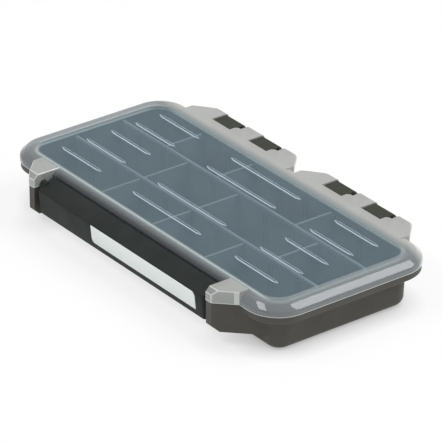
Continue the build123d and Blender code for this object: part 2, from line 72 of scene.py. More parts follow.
class Slot(str, Enum):
    """Names of material slots for the new pieces; no piece is put in a slot by them."""

    LID = "lid"
    LATCH = "latch"
    LABEL = "label"


class Pick(str, Enum):
    """What a selection is made of."""

    VERTS = "VERT"
    EDGES = "EDGE"
    FACES = "FACE"


def at(value: float, place: float) -> bool:
    """Say whether a coordinate in metres is at a place in millimetres."""
    return abs(value / MM - place) <= SLACK


def keeps_to(edge: bmesh.types.BMEdge, **places: float) -> bool:
    """Say whether both ends of an edge are at the places given by axis, in millimetres."""
    return all(at(getattr(vert.co, axis), place) for vert in edge.verts for axis, place in places.items())


def rise_of(edge: bmesh.types.BMEdge) -> float:
    """Give the difference in height of an edge's ends, in millimetres."""
    return abs(edge.verts[0].co.z - edge.verts[1].co.z) / MM


class Bench:
    """Modelling calls on one piece, in millimetres. The piece stays at the origin."""

    def __init__(self, piece: bpy.types.Object) -> None:
        """Take up a piece and settle its place into its mesh.

        Args:
            piece: The object that was just added.
        """
        self.piece = piece
        self.take()
        bpy.ops.object.transform_apply(location=True, rotation=True, scale=True)

    @classmethod
    def cube(cls, name: str, low: tuple, high: tuple) -> "Bench":
        """Add a block between two corners.

        Args:
            name: The piece's name.
            low: Its lowest corner.
            high: Its highest corner.

        Returns:
            The bench that holds the block.
        """
        bpy.ops.object.select_all(action="DESELECT")
        middle = [(first + second) / 2 * MM for first, second in zip(low, high)]
        bpy.ops.mesh.primitive_cube_add(size=1.0, location=middle)
        piece = bpy.context.object
        piece.name = piece.data.name = name
        piece.scale = [(second - first) * MM for first, second in zip(low, high)]
        return cls(piece)

    @classmethod
    def rod(cls, name: str, radius: float, ends: tuple, axis: tuple, sides: int) -> "Bench":
        """Add a round bar that lies along X.

        Args:
            name: The piece's name.
            radius: Its radius.
            ends: Where it starts and ends along X.
            axis: The y and z of its axis.
            sides: The number of faces round it.

        Returns:
            The bench that holds the bar.
        """
        bpy.ops.object.select_all(action="DESELECT")
        middle = [value * MM for value in (sum(ends) / 2, *axis)]
        bpy.ops.mesh.primitive_cylinder_add(vertices=sides, radius=radius * MM, location=middle,
                                            depth=abs(ends[1] - ends[0]) * MM, rotation=(0, math.pi / 2, 0))
        piece = bpy.context.object
        piece.name = piece.data.name = name
        return cls(piece)

    def take(self) -> None:
        """Make this piece the only selected one."""
        if bpy.context.object and bpy.context.object.mode != "OBJECT":
            bpy.ops.object.mode_set(mode="OBJECT")
        bpy.ops.object.select_all(action="DESELECT")
        self.piece.select_set(True)
        bpy.context.view_layer.objects.active = self.piece

    def edit(self) -> None:
        """Go to edit mode with nothing selected."""
        self.take()
        bpy.ops.object.mode_set(mode="EDIT")
        bpy.ops.mesh.select_all(action="DESELECT")

    def done(self) -> None:
        """Leave edit mode."""
        bpy.ops.object.mode_set(mode="OBJECT")

    def pick(self, kind: Pick, test: Callable) -> None:
        """Select the parts of the mesh that pass a test.

        Args:
            kind: Whether vertices, edges or faces are tested.
            test: Takes a part and says whether it is selected.
        """
        bpy.ops.mesh.select_mode(type=kind.value)
        bpy.ops.mesh.select_all(action="DESELECT")
        shape = bmesh.from_edit_mesh(self.piece.data)
        parts = {Pick.VERTS: shape.verts, Pick.EDGES: shape.edges, Pick.FACES: shape.faces}[kind]
        for part in [part for part in parts if test(part)]:
            part.select_set(True)
        shape.select_flush_mode()
        bmesh.update_edit_mesh(self.piece.data)

    def bevel(self, width: float, segments: int, corners: bool = False, material: int = -1) -> None:
        """Round the selected edges, or the corners of a flat outline, in a material slot if given."""
        bpy.ops.mesh.bevel(offset=width * MM, segments=segments, profile=0.5, material=material,
                           affect="VERTICES" if corners else "EDGES")

    def inset(self, thickness: float, depth: float = 0.0) -> None:
        """Inset the selected faces and raise them by depth."""
        bpy.ops.mesh.inset(thickness=thickness * MM, depth=depth * MM, use_even_offset=True)

    def extrude(self, by: tuple) -> None:
        """Extrude the selection along a vector."""
        bpy.ops.mesh.extrude_region_move(TRANSFORM_OT_translate={"value": [step * MM for step in by]})

    def move(self, by: tuple) -> None:
        """Move the selection along a vector."""
        bpy.ops.transform.translate(value=[step * MM for step in by])

    def stretch(self, factors: tuple) -> None:
        """Scale the selection about the origin."""
        bpy.ops.transform.resize(value=factors, center_override=(0, 0, 0))

    def slice(self, point: tuple, outwards: tuple) -> None:
        """Cut the whole mesh by a plane, drop what is beyond it and close the cut.

        Args:
            point: A point on the plane, in millimetres.
            outwards: The direction of what is dropped.
        """
        bpy.ops.mesh.select_all(action="SELECT")
        bpy.ops.mesh.bisect(plane_co=[value * MM for value in point], plane_no=outwards,
                            use_fill=True, clear_outer=True)

    def modify(self, kind: str, **settings: object) -> None:
        """Add one modifier, set it and apply it.

        Args:
            kind: The modifier's type.
            settings: Its attributes.
        """
        self.take()
        bpy.ops.object.modifier_add(type=kind)
        modifier = self.piece.modifiers[-1]
        for key, value in settings.items():
            setattr(modifier, key, value)
        bpy.ops.object.modifier_apply(modifier=modifier.name)

    def combine(self, others: Iterable["Bench"], operation: str) -> None:
        """Fuse other solids on, or cut them out, and remove them.

        Args:
            others: The benches of the other solids.
            operation: UNION or DIFFERENCE.
        """
        for other in others:
            self.modify("BOOLEAN", operation=operation, object=other.piece, solver="EXACT")
            bpy.data.objects.remove(other.piece)

    def join(self, others: Iterable["Bench"]) -> None:
        """Join other meshes into this piece as they are.

        Args:
            others: The benches of the other meshes.
        """
        self.take()
        for other in others:
            other.piece.select_set(True)
        bpy.ops.object.join()

    def copy_to(self, name: str, x: float, y: float) -> "Bench":
        """Copy the piece with a mesh of its own.

        Args:
            name: The copy's name.
            x: How far to the right it goes.
            y: How far back it goes.

        Returns:
            The bench that holds the copy.
        """
        self.take()
        bpy.ops.object.duplicate(linked=False)
        piece = bpy.context.object
        piece.name = piece.data.name = name
        piece.location = (x * MM, y * MM, 0)
        return Bench(piece)

    def paint(self, plain: Material, marked: Material) -> None:
        """Give the selected faces one material and the rest another, and leave edit mode.

        Args:
            plain: The material of the faces that aren't selected.
            marked: The material of the selected faces.
        """
        self.piece.data.materials.clear()
        self.piece.data.materials.append(plain)
        self.piece.data.materials.append(marked)
        for face in bmesh.from_edit_mesh(self.piece.data).faces:
            face.material_index = int(face.select)
        bmesh.update_edit_mesh(self.piece.data)
        self.done()

    def smooth(self, angle: float) -> None:
        """Shade smooth, and keep edges sharper than angle in degrees."""
        self.take()
        bpy.ops.object.shade_smooth_by_angle(angle=math.radians(angle))


@dataclass(frozen=True)
class Grain:
    """A noise pattern, and the band of its values that is spread over a range."""

    scale: float
    detail: float = 3.0
    roughness: float = 0.5
    low: float = 0.3
    high: float = 0.7


class NodeSheet:
    """A material's node tree, with short calls that add and link its nodes."""

    def __init__(self, name: str) -> None:
        """Start an empty material.

        Args:
            name: The material's name.
        """
        self.material = bpy.data.materials.new(name)
        self.material.use_nodes = True
        self.tree = self.material.node_tree
        self.tree.nodes.clear()
        self.output = self.tree.nodes.new("ShaderNodeOutputMaterial")

    def add(self, kind: str, **settings: object) -> bpy.types.Node:
        """Add one node.

        Args:
            kind: The node's type without its ShaderNode prefix.
            settings: Attributes of the node.

        Returns:
            The new node.
        """
        node = self.tree.nodes.new("ShaderNode" + kind)
        for key, value in settings.items():
            setattr(node, key, value)
        return node

    def link(self, source: Socket, target: Socket) -> None:
        """Link an output socket to an input socket."""
        self.tree.links.new(source, target)

    def place(self) -> Socket:
        """Give the socket with the place on the object, in metres."""
        return self.add("TexCoord").outputs["Object"]

    def axes(self) -> tuple:
        """Take the place on the object apart.

        Returns:
            The sockets with its X, Y and Z, in metres.
        """
        parts = self.add("SeparateXYZ")
        self.link(self.place(), parts.inputs[0])
        return tuple(parts.outputs)

    def noise(self, grain: Grain) -> Socket:
        """Add a noise pattern in object space.

        Args:
            grain: The pattern.

        Returns:
            The socket with the pattern's value, from 0 to 1.
        """
        node = self.add("TexNoise")
        node.inputs["Scale"].default_value = grain.scale
        node.inputs["Detail"].default_value = grain.detail
        node.inputs["Roughness"].default_value = grain.roughness
        self.link(self.place(), node.inputs["Vector"])
        return node.outputs["Fac"]

    def drift(self, grain: Grain, low: float = 0.0, high: float = 1.0) -> Socket:
        """Let a value wander between two limits as a noise pattern does."""
        return self.spread(self.noise(grain), grain.low, grain.high, low, high)

    def spread(self, value: Socket, low: float, high: float,
               to_low: float = 0.0, to_high: float = 1.0) -> Socket:
        """Map a value's range onto another, held at both ends.

        Args:
            value: The socket to map.
            low: The value that becomes to_low.
            high: The value that becomes to_high.
            to_low: The result at low.
            to_high: The result at high.

        Returns:
            The socket with the result.
        """
        node = self.add("MapRange")
        limits = {"From Min": low, "From Max": high, "To Min": to_low, "To Max": to_high}
        for key, number in limits.items():
            node.inputs[key].default_value = number
        self.link(value, node.inputs["Value"])
        return node.outputs["Result"]

    def fade(self, value: Socket, start: float, end: float) -> Socket:
        """Go from 0 at one place in millimetres to 1 at another."""
        return self.spread(value, start * MM, end * MM)

    def sum(self, operation: str, first: Value, second: Value | None = None) -> Socket:
        """Work out one sum of two values.

        Args:
            operation: The Math node's operation.
            first: A socket or a number.
            second: A socket or a number, or None where the operation takes one value.

        Returns:
            The socket with the result.
        """
        node = self.add("Math", operation=operation)
        for socket, value in zip(node.inputs, (first, second)):
            if value is None:
                continue
            if isinstance(value, (int, float)):
                socket.default_value = value
            else:
                self.link(value, socket)
        return node.outputs[0]

    def from_place(self, value: Socket, place: float) -> Socket:
        """Work out how far a place on an axis is from one in millimetres, on either side."""
        return self.sum("ABSOLUTE", self.sum("SUBTRACT", value, place * MM))

    def tint(self, factor: Socket, first: Colour, second: Colour) -> Socket:
        """Blend two colours by a factor.

        Args:
            factor: The socket that goes from 0 for first to 1 for second.
            first: A linear RGB colour, or a socket with one.
            second: A linear RGB colour, or a socket with one.

        Returns:
            The socket with the colour.
        """
        node = self.add("Mix", data_type="RGBA")
        sockets = [socket for socket in node.inputs if socket.type == "RGBA"]
        for socket, colour in zip(sockets, (first, second)):
            if isinstance(colour, tuple):
                socket.default_value = (*colour, 1.0)
            else:
                self.link(colour, socket)
        self.link(factor, node.inputs["Factor"])
        return [socket for socket in node.outputs if socket.type == "RGBA"][0]

    def blend(self, factor: Socket, first: Socket, second: float) -> Socket:
        """Blend a value into a number by a factor.

        Args:
            factor: The socket that goes from 0 for first to 1 for second.
            first: The socket with the value.
            second: The number that it turns into.

        Returns:
            The socket with the result.
        """
        kept = self.sum("MULTIPLY", first, self.sum("SUBTRACT", 1.0, factor))
        return self.sum("ADD", kept, self.sum("MULTIPLY", factor, second))

    def relief(self, height: Socket, strength: float, distance: float) -> Socket:
        """Turn a height pattern into a bumped normal.

        Args:
            height: The socket with the height, from 0 to 1.
            strength: The bump's strength.
            distance: The height in metres of a value of 1.

        Returns:
            The socket with the normal.
        """
        node = self.add("Bump")
        node.inputs["Strength"].default_value = strength
        node.inputs["Distance"].default_value = distance
        self.link(height, node.inputs["Height"])
        return node.outputs["Normal"]

    def finish(self, surface: Socket) -> Material:
        """Put a surface out as the material's look and give the material."""
        self.link(surface, self.output.inputs["Surface"])
        return self.material


def linear(red: int, green: int, blue: int) -> tuple:
    """Turn a display colour of 0 to 255 a channel into a linear one, by the sRGB curve."""
    return tuple((value / 255 / 12.92) if value <= 10 else ((value / 255 + 0.055) / 1.055) ** 2.4
                 for value in (red, green, blue))


@dataclass(frozen=True)
class ClearWall:
    """How a clear wall hides what is behind it, by its haze and by its reflection."""

    light: tuple = (0.94, 0.97, 0.98)
    facing_blend: float = 0.5
    haze_square: float = 0.75
    haze_slant: float = 0.9
    slant_power: float = 3.0
    mirror_square: float = 0.035
    mirror_slant: float = 0.96
    mirror_power: float = 5.0

    def cover(self, sheet: NodeSheet, haze: Socket, shader: bpy.types.Node,
              stain: Socket | None = None) -> Material:
        """Mix a plastic's own look with what is let through it.

        Args:
            sheet: The material that is being built.
            haze: The socket with how much is hidden, from 0 to 1.
            shader: The node with the plastic's own look.
            stain: The socket with the colour of what is let through, where it changes.

        Returns:
            The finished material.
        """
        clear = sheet.add("BsdfTransparent")
        clear.inputs["Color"].default_value = (*self.light, 1.0)
        if stain is not None:
            sheet.link(stain, clear.inputs["Color"])
        view = sheet.add("LayerWeight")
        view.inputs["Blend"].default_value = self.facing_blend
        slant = view.outputs["Facing"]
        mirror = sheet.sum("MULTIPLY", sheet.sum("POWER", slant, self.mirror_power), self.mirror_slant)
        depth = sheet.sum("MULTIPLY", sheet.sum("POWER", slant, self.slant_power), self.haze_slant)
        hidden = sheet.sum("MULTIPLY", haze, sheet.sum("ADD", depth, self.haze_square))
        hidden = sheet.sum("ADD", hidden, sheet.sum("ADD", mirror, self.mirror_square))
        mix = sheet.add("MixShader")
        sheet.link(sheet.sum("MINIMUM", hidden, 1.0), mix.inputs[0])
        sheet.link(clear.outputs[0], mix.inputs[1])
        sheet.link(shader.outputs["BSDF"], mix.inputs[2])
        return sheet.finish(mix.outputs[0])


CLEAR_WALL = ClearWall()


@dataclass(frozen=True)
class MouldedPlastic:
    """Opaque moulded plastic with a fine spark texture, flow marks and handling marks."""

    name: str
    colour: tuple
    dusty: tuple
    gloss: float = 0.42
    specular: float = 0.5
    texture: Grain = Grain(2600.0, 2.0)
    texture_strength: float = 0.5
    texture_height: float = 0.00004
    flow: Grain = Grain(38.0, 5.0, 0.6, 0.35)
    handling: Grain = Grain(120.0, 4.0, high=0.75)
    gloss_drift: tuple = (-0.05, 0.08)

    def pattern(self, sheet: NodeSheet) -> Socket:
        """Work out the plastic's colour on a sheet and give its socket."""
        return sheet.tint(sheet.drift(self.flow), self.colour, self.dusty)

    def make(self) -> Material:
        """Build the material.

        Returns:
            The new material.
        """
        sheet = NodeSheet(self.name)
        shader = sheet.add("BsdfPrincipled")
        shader.inputs["Specular IOR Level"].default_value = self.specular
        gloss = [self.gloss + drift for drift in self.gloss_drift]
        relief = sheet.relief(sheet.noise(self.texture), self.texture_strength, self.texture_height)
        looks = {"Base Color": self.pattern(sheet), "Normal": relief,
                 "Roughness": sheet.drift(self.handling, *gloss)}
        for key, socket in looks.items():
            sheet.link(socket, shader.inputs[key])
        return sheet.finish(shader.outputs["BSDF"])


@dataclass(frozen=True)
class TrayPlastic(MouldedPlastic):
    """The tray's plastic, with painted shade that darkens the hinge knuckles."""

    # hinge is the darker colour of the painted shade on the hinge knuckles
    hinge: tuple = linear(56, 58, 50)
    hinge_y: float = 52.5
    hinge_z: float = 26.0

    def pattern(self, sheet: NodeSheet) -> Socket:
        """Work out the plastic's colour.

        Args:
            sheet: The material that is being built.

        Returns:
            The socket with the colour.
        """
        _, y, z = sheet.axes()
        back = sheet.sum("GREATER_THAN", y, self.hinge_y * MM)
        high = sheet.sum("GREATER_THAN", z, self.hinge_z * MM)
        # Painted shade: the knuckles at the back and top are tinted darker.
        return sheet.tint(sheet.sum("MULTIPLY", back, high), super().pattern(sheet), self.hinge)


@dataclass(frozen=True)
class DividerPlastic(MouldedPlastic):
    """Plastic of the walls in the tray, with a painted highlight that makes their top edges paler."""

    # edge is the colour of the painted highlight along the walls' top edges, where light falls on them
    edge: tuple = linear(122, 128, 128)
    painted_highlight_from: float = 27.0
    painted_highlight_fade: float = 0.4

    def pattern(self, sheet: NodeSheet) -> Socket:
        """Work out the plastic's colour on a sheet and give its socket."""
        # Paler towards the top: a painted highlight, not a colour of the plastic.
        top = sheet.fade(sheet.axes()[2], self.painted_highlight_from, self.painted_highlight_from + self.painted_highlight_fade)
        return sheet.tint(top, super().pattern(sheet), self.edge)


@dataclass(frozen=True)
class BareClear:
    """Clear plastic with one haze all over and a painted glow: an emission that stands in for light leaving
    it through an edge.
    """

    name: str
    colour: tuple
    haze: float
    # glow is the strength of the painted glow
    glow: float = 0.0
    haze_drift: float = 0.03
    cloud: Grain = Grain(45.0, 4.0, 0.6)
    rough: float = 0.12
    rough_drift: tuple = (-0.03, 0.04)
    handling: Grain = Grain(140.0)
    faintest: float = 0.9
    faint: Grain = Grain(60.0)

    def make(self) -> Material:
        """Build the material.

        Returns:
            The new material.
        """
        sheet = NodeSheet(self.name)
        shader = sheet.add("BsdfPrincipled")
        weak = tuple(value * self.faintest for value in self.colour)
        sheet.link(sheet.tint(sheet.noise(self.faint), weak, self.colour), shader.inputs["Base Color"])
        rough = [self.rough + drift for drift in self.rough_drift]
        sheet.link(sheet.drift(self.handling, *rough), shader.inputs["Roughness"])
        # Painted glow: the plastic emits its own colour.
        shader.inputs["Emission Color"].default_value = (*self.colour, 1.0)
        shader.inputs["Emission Strength"].default_value = self.glow
        haze = sheet.drift(self.cloud, self.haze, self.haze + self.haze_drift)
        return CLEAR_WALL.cover(sheet, haze, shader)


@dataclass(frozen=True)
class LidPlastic:
    """Clear lid plastic: clean panel, a crest with a painted highlight, smoky rim, cleaner front slope and a
    lower edge with a painted highlight.

    The zones are placed in millimetres. Those of the rim, crest and smoke are measured outwards
    from the panel's outline, which is a rectangle with round corners.
    """

    name: str
    panel: tuple = linear(160, 184, 199)
    rim: tuple = linear(178, 184, 187)
    # bright is the colour of a painted highlight along the crest, which crest_haze makes show
    bright: tuple = linear(206, 217, 218)
    # The lower edge's whiter colour is a painted highlight, which lip_haze makes show.
    lip: tuple = linear(240, 243, 241)
    tab: tuple = linear(190, 191, 188)
    smoke: tuple = (0.55, 0.57, 0.58)
    panel_haze: float = 0.11
    rim_haze: float = 0.45
    crest_haze: float = 0.3
    ear_haze: float = 0.68
    tab_haze: float = 0.8
    front_haze: float = 0.08
    lip_haze: float = 0.8
    haze_drift: float = 0.015
    cloud: Grain = Grain(30.0, 4.0, 0.6)
    rough: float = 0.07
    rough_drift: tuple = (-0.02, 0.04)
    handling: Grain = Grain(90.0, 4.0)
    ripple: Grain = Grain(70.0, 2.0)
    ripple_strength: float = 0.1
    ripple_height: float = 0.00001
    shine: float = 1.87
    panel_middle: tuple = (1.4, -1.7)
    panel_half: tuple = (106.0, 43.0)
    panel_corner: float = 10.3
    rim_from: float = -0.3
    rim_full: float = 0.5
    crest_at: float = 0.85
    crest_half: float = 0.85
    crest_fade: float = 0.3
    smoke_from: float = 1.7
    smoke_full: float = 2.5
    lip_top: float = 24.45
    lip_low: float = 24.0
    lip_fade: float = 0.12
    front_half: float = 74.5
    slope_from: float = 46.4
    slope_full: float = 51.0
    ear_from: float = 46.9
    ear_full: float = 47.9
    ear_at: float = 82.4
    ear_half: float = 7.7
    ear_fade: float = 0.4
    tab_from: float = 41.5
    tab_full: float = 46.0

    def past_panel(self, sheet: NodeSheet, axes: tuple) -> Socket:
        """Work out how far a place is outside the panel's outline.

        Args:
            sheet: The material that is being built.
            axes: The sockets with the place's X and Y.

        Returns:
            The socket with the distance in metres, below 0 inside.
        """
        squares = []
        for axis, middle, half in zip(axes, self.panel_middle, self.panel_half):
            past = sheet.sum("SUBTRACT", sheet.from_place(axis, middle), (half - self.panel_corner) * MM)
            past = sheet.sum("MAXIMUM", past, 0.0)
            squares.append(sheet.sum("MULTIPLY", past, past))
        return sheet.sum("SUBTRACT", sheet.sum("SQRT", sheet.sum("ADD", *squares)), self.panel_corner * MM)

    def zones(self, sheet: NodeSheet) -> dict:
        """Mark out the parts of the lid by their place on it.

        Args:
            sheet: The material that is being built.

        Returns:
            For rim, crest, smoke, front, ear, tab and lip, the socket that is 1 there and 0
            elsewhere.
        """
        x, y, z = sheet.axes()
        across = sheet.sum("ABSOLUTE", x)
        out = self.past_panel(sheet, (x, y))
        crest = sheet.from_place(out, self.crest_at)
        middle = sheet.sum("LESS_THAN", across, self.front_half * MM)
        ahead = sheet.fade(y, -self.ear_from, -self.ear_full)
        from_ear = sheet.from_place(across, self.ear_at)
        under = sheet.fade(z, self.lip_top, self.lip_top - self.lip_fade)
        above = sheet.fade(z, self.lip_low, self.lip_low + self.lip_fade)
        return {
            "rim": sheet.fade(out, self.rim_from, self.rim_full),
            "crest": sheet.fade(crest, self.crest_half + self.crest_fade, self.crest_half - self.crest_fade),
            "front": sheet.sum("MULTIPLY", sheet.fade(y, -self.slope_from, -self.slope_full), middle),
            "smoke": sheet.fade(out, self.smoke_from, self.smoke_full),
            "ear": sheet.sum("MULTIPLY", ahead,
                             sheet.fade(from_ear, self.ear_half + self.ear_fade, self.ear_half)),
            "tab": sheet.fade(y, self.tab_from, self.tab_full),
            "lip": sheet.sum("MULTIPLY", under, above),
        }

    def make(self) -> Material:
        """Build the material.

        Returns:
            The new material.
        """
        sheet = NodeSheet(self.name)
        zones = self.zones(sheet)
        haze = sheet.drift(self.cloud, self.panel_haze - self.haze_drift, self.panel_haze + self.haze_drift)
        levels = {"rim": self.rim_haze, "ear": self.ear_haze, "tab": self.tab_haze,
                  "crest": self.crest_haze, "front": self.front_haze, "lip": self.lip_haze}
        for zone, level in levels.items():
            haze = sheet.blend(zones[zone], haze, level)
        shader = sheet.add("BsdfPrincipled")
        shader.inputs["IOR"].default_value = self.shine
        colour = sheet.tint(zones["rim"], self.panel, self.rim)
        colour = sheet.tint(sheet.sum("MAXIMUM", zones["tab"], zones["ear"]), colour, self.tab)
        # Painted highlight: the crest band is tinted to the bright colour.
        colour = sheet.tint(zones["crest"], colour, self.bright)
        rough = [self.rough + drift for drift in self.rough_drift]
        ripple = sheet.relief(sheet.noise(self.ripple), self.ripple_strength, self.ripple_height)
        # The lower edge band is tinted to a painted highlight.
        looks = {"Base Color": sheet.tint(zones["lip"], colour, self.lip), "Normal": ripple,
                 "Roughness": sheet.drift(self.handling, *rough)}
        for key, socket in looks.items():
            sheet.link(socket, shader.inputs[key])
        smoked = sheet.sum("MULTIPLY", zones["smoke"], sheet.sum("SUBTRACT", 1.0, zones["ear"]))
        return CLEAR_WALL.cover(sheet, haze, shader, sheet.tint(smoked, CLEAR_WALL.light, self.smoke))


TRAY_FINISH = TrayPlastic("tray_plastic", linear(75, 73, 68), linear(84, 82, 77), 0.5, 0.3)
LATCH_FINISH = MouldedPlastic("latch_plastic", linear(42, 46, 44), linear(51, 55, 53), 0.5, 0.1)
PIN_FINISH = MouldedPlastic("pin_plastic", linear(60, 60, 54), linear(70, 70, 63), 0.5, 0.3)
DIVIDER_FINISH = DividerPlastic("divider_plastic", linear(84, 88, 87), linear(94, 98, 97), 0.45)
SEAL_FINISH = MouldedPlastic("seal_rubber", linear(196, 208, 200), linear(206, 216, 208), 0.5)
LABEL_FINISH = MouldedPlastic("label_card", linear(234, 242, 239), linear(240, 245, 243), 0.5, 0.4,
                              Grain(1400.0, 2.0))
LID_FINISH = LidPlastic("lid_plastic")
# The edge plastic's pale colour is a painted highlight on the lid's edges, and it has a painted glow.
EDGE_HIGHLIGHT_FINISH = BareClear("lid_edge_highlight", linear(224, 228, 228), 0.8, 0.12)
STROKE_FINISH = BareClear("lid_stroke", linear(158, 178, 190), 0.0)
# The stroke lines' pale colour and glow are a painted highlight.
STROKE_HIGHLIGHT_FINISH = BareClear("lid_stroke_highlight", linear(214, 229, 238), 0.9, 0.15)


def dress(node: str, material: Material) -> None:
    """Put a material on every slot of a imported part.

    Args:
        node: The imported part's name.
        material: The material it gets.
    """
    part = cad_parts[node]
    if not part.material_slots:
        part.data.materials.append(material)
    for slot in part.material_slots:
        slot.material = material


@dataclass
class Tray:
    """Tray with the walls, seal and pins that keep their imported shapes, and the finish of each."""

    tray: str = "base_tray"
    walls: tuple = ("lane_wall", "divider")
    seal: str = "lid_seal"
    pins: str = "hinge_pin"

    def cover(self, starts: str | tuple, finish: MouldedPlastic) -> None:
        """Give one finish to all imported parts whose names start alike.

        Args:
            starts: What their names start with.
            finish: The finish they get.
        """
        material = finish.make()
        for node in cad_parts:
            if node.startswith(starts):
                dress(node, material)
                log.info("dressed %s in %s", node, finish.name)

    def build(self) -> None:
        """Dress the tray and what it holds."""
        self.cover(self.tray, TRAY_FINISH)
        self.cover(self.walls, DIVIDER_FINISH)
        self.cover(self.seal, SEAL_FINISH)
        self.cover(self.pins, PIN_FINISH)


@dataclass
class Lid:
    """Clear lid: a pressed shell with two ears and two hinge tabs, and the raised strokes on it."""

    length: float = 231.8
    depth: float = 106.4
    reach: float = 63.3
    corner: float = 18.8
    corner_steps: int = 24
    bottom: float = 24.0
    skirt_top: float = 26.8
    crest: float = 31.4
    shoulder_run: float = 6.8
    shoulder_bevel: float = 0.9
    shoulder_steps: int = 3
    haunch_run: float = 3.2
    haunch_rise: float = 2.9
    crest_width: float = 0.9
    recess_slope: float = 0.8
    recess_depth: float = 0.4
    wall: float = 1.8
    edge: float = 0.4
    sharp: float = 0.35
    smooth_angle: float = 30.0
    ear_inner: float = 74.9
    ear_facet: float = 4.9
    ear_top: float = 31.2
    ear_chamfer: float = 2.6
    ear_root: float = 6.3
    ear_highlight_strip: float = 1.9
    pivot: tuple = (-57.4, 25.4)
    pivot_hole_radius: float = 1.4
    pivot_hole_sides: int = 24
    bay_front: float = 51.4
    tab_at: float = 48.0
    tab_root: float = 45.0
    tab_end: float = 30.0
    tab_low: float = 26.8
    tab_top: float = 30.6
    tab_bury: float = 0.5
    tab_round: float = 1.85
    tab_round_from: float = 1.2
    tab_corner: float = 1.5
    tab_steps: int = 4
    window_front: float = 52.0
    window_half: float = 9.6
    stop_width: float = 3.2
    stop_depth: float = 5.0
    stop_chamfer: float = 1.5
    cutter_past: float = 5.0
    windows: tuple = (-64.0, -32.0, 32.0, 64.0)
    stroke_width: float = 2.2
    stroke_height: float = 0.4
    stroke_root: float = 0.05
    stroke_point: float = 3.0
    stroke_tip: float = 0.15
    stroke_taper: tuple = (0.994, 0.6, 1.0)
    stroke_line: float = 0.15
    stroke_front: float = 0.3
    stroke_end: float = 0.6
    stroke_rows: tuple = (-2, -1, 0, 1, 2)
    stroke_pitch: float = 16.0
    side_stroke: float = 35.4
    side_stroke_at: float = 75.9
    middle_stroke: float = 59.4
    plastics: tuple = field(default_factory=lambda: (LID_FINISH.make(), EDGE_HIGHLIGHT_FINISH.make()))
    stroke_plastics: tuple = field(default_factory=lambda: (STROKE_FINISH.make(), STROKE_HIGHLIGHT_FINISH.make()))

    def slab(self, name: str, low: tuple, high: tuple) -> Bench:
        """Add a block that has the lid's clear plastic and its edge plastic, with the painted highlight and
        glow, on it.

        Args:
            name: The piece's name.
            low: Its lowest corner.
            high: Its highest corner.

        Returns:
            The bench that holds the block.
        """
        bench = Bench.cube(name, low, high)
        for plastic in self.plastics:
            bench.piece.data.materials.append(plastic)
        return bench

    def brighten(self, bench: Bench, test: Callable) -> None:
        """Bevel the sharp edges that pass a test and give the bevels the edge plastic, a painted highlight
        with a painted glow.
        """
        bench.pick(Pick.EDGES, lambda edge: edge.calc_face_angle(0.0) > self.sharp and test(edge))
        bench.bevel(self.edge, 1, material=1)

    @property
    def half(self) -> tuple:
        """Half of the skirt's length and depth."""
        return self.length / 2, self.depth / 2

    def pan(self, gap: float = 0.0) -> Bench:
        """Press the pan of the lid, or the hollow inside it.

        Args:
            gap: How far the hollow stays inside the pan's faces, or 0 for the pan.

        Returns:
            The bench that holds the closed pan.
        """
        x, y = (size - gap for size in self.half)
        turn = self.skirt_top - gap / 2
        bench = self.slab("lid_shell", (-x, -y, self.bottom - gap), (x, y, turn))
        bench.edit()
        bench.pick(Pick.EDGES, lambda edge: rise_of(edge) > UPRIGHT)
        bench.bevel(self.corner - gap, self.corner_steps)
        bench.pick(Pick.FACES, lambda face: face.normal.z > FACING)
        if gap:
            bench.inset(self.shoulder_run - gap / 2, self.crest - self.recess_depth - gap - turn)
            bench.done()
            return bench
        bench.inset(self.haunch_run, self.haunch_rise)
        bench.inset(self.shoulder_run - self.haunch_run, self.crest - turn - self.haunch_rise)
        bench.pick(Pick.EDGES, lambda edge: keeps_to(edge, z=turn))
        bench.bevel(self.shoulder_bevel, self.shoulder_steps)
        bench.pick(Pick.FACES, lambda face: face.normal.z > FACING)
        bench.inset(self.crest_width)
        bench.inset(self.recess_slope, -self.recess_depth)
        bench.done()
        return bench

    def ear(self, side: int, gap: float = 0.0) -> Bench:
        """Model one faceted ear, or the hollow inside it.

        Args:
            side: 1 for the right-hand ear, -1 for the left-hand one.
            gap: How far the hollow stays inside the ear's faces, or 0 for the ear.

        Returns:
            The bench that holds the ear.
        """
        y = self.half[1]
        outer = self.ear_inner + self.ear_facet + self.reach - y
        low, high = sorted((side * (self.ear_inner + gap), side * (outer - gap)))
        front, top = -self.reach + gap, self.ear_top - gap
        bench = self.slab("ear", (low, front, self.bottom - gap), (high, self.ear_root - y, top))
        bench.edit()
        drawn_in = gap * math.sqrt(0.5)
        bench.slice((side * (self.ear_inner + self.ear_facet - drawn_in), -self.reach + drawn_in, 0),
                    (side, -1.0, 0))
        bench.pick(Pick.EDGES, lambda edge: keeps_to(edge, y=front, z=top))
        bench.bevel(self.ear_chamfer, 1)
        if not gap:
            # Painted highlights: the ear's sharp edges and a strip of its front faces near the outer end get
            # the edge plastic.
            self.brighten(bench, lambda edge: any(vert.co.y / MM < -y - MARGIN for vert in edge.verts)
                          and any(vert.co.z / MM > self.bottom + MARGIN for vert in edge.verts))
            highlight_strip = outer - self.ear_highlight_strip
            bpy.ops.mesh.select_all(action="SELECT")
            bpy.ops.mesh.bisect(plane_co=(side * highlight_strip * MM, 0, 0), plane_no=(1, 0, 0))
            bench.pick(Pick.FACES, lambda face: abs(face.calc_center_median().x / MM) > highlight_strip
                       and face.normal.y < -LEANING)
            bench.piece.active_material_index = 1
            bpy.ops.object.material_slot_assign()
        bench.done()
        return bench

